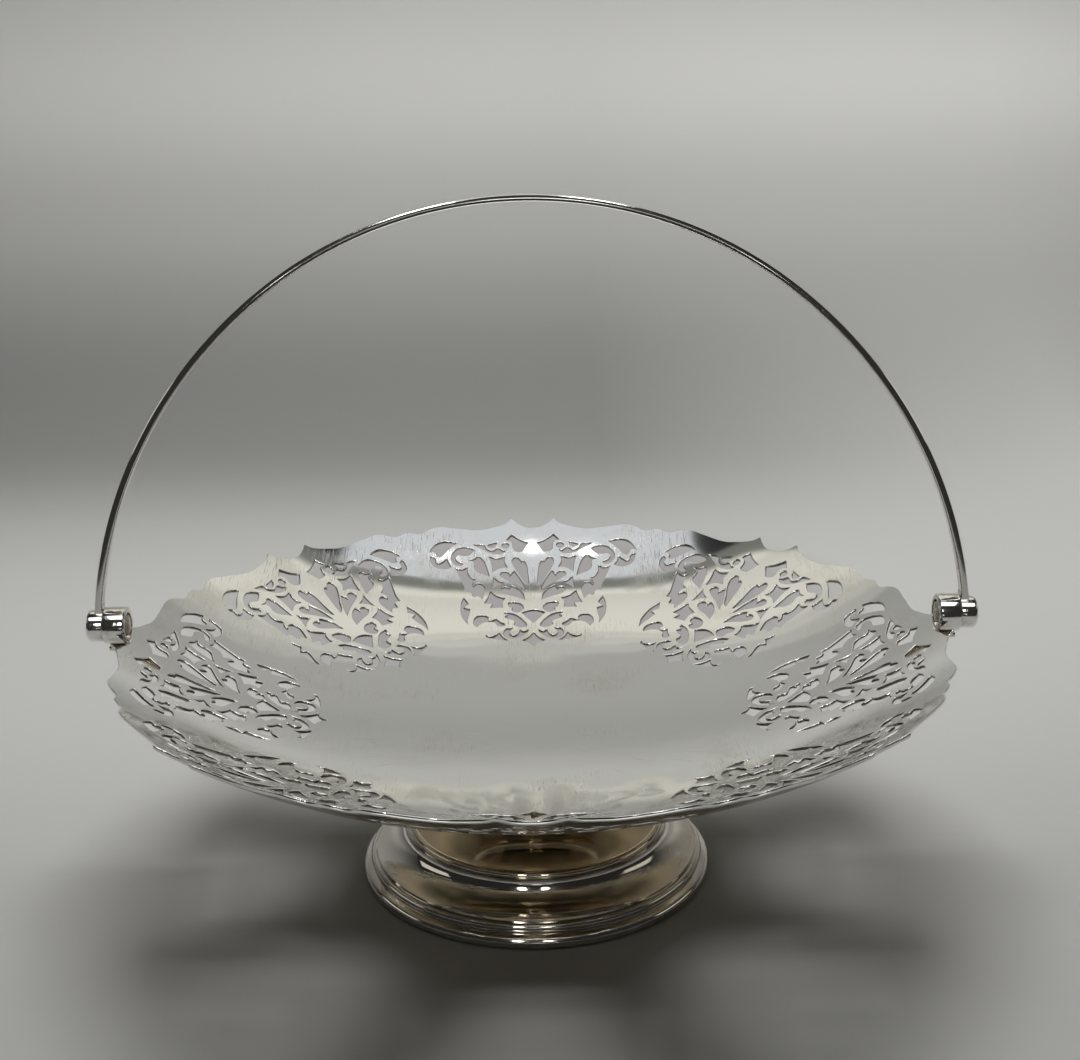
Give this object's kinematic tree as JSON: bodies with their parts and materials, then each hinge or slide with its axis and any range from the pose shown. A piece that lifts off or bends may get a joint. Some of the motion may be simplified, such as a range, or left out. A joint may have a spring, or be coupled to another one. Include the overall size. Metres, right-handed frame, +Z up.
{
  "type": "swing-handled fruit basket",
  "caption": "Shallow round pierced metal basket with a wavy rim on a spun pedestal foot, with a flat bow handle that swings on two barrel hinges at the rim.",
  "frame": {"origin": "on the table under the middle of the foot", "axes": "+Z up from the table; X runs through the two hinges; -Y is the side that faces the viewer; the handle stands upright at rest"},
  "size_m": [0.2982, 0.2798, 0.2297],
  "materials": {
    "dish_silver": "polished silver plate, finely scratched",
    "foot_silver": "polished silver plate, slightly tarnished in the hollows",
    "hinge_silver": "polished silver plate with worn edges",
    "pin_silver": "plated pin, dull at the head",
    "bow_silver": "polished silver plate, small dents"
  },
  "bodies": {
    "base": {"dish": "dish_silver", "foot_base_wire": "foot_silver", "foot_shell": "foot_silver", "foot_collar": "foot_silver", "hinge_lug_right": "hinge_silver", "hinge_lug_left": "hinge_silver", "lug_bracket_right": "hinge_silver", "lug_bracket_left": "hinge_silver"},
    "handle": {"handle_bow": "bow_silver", "handle_knuckle_right": "hinge_silver", "handle_knuckle_left": "hinge_silver", "hinge_pin_right": "pin_silver", "hinge_pin_left": "pin_silver"}
  },
  "joints": [
    {"name": "handle_swing", "type": "hinge", "parent": "base", "child": "handle", "pos_m": [0, 0, 0.0897], "axis": [1, 0, 0], "range_deg": [-89, 89]}
  ]
}
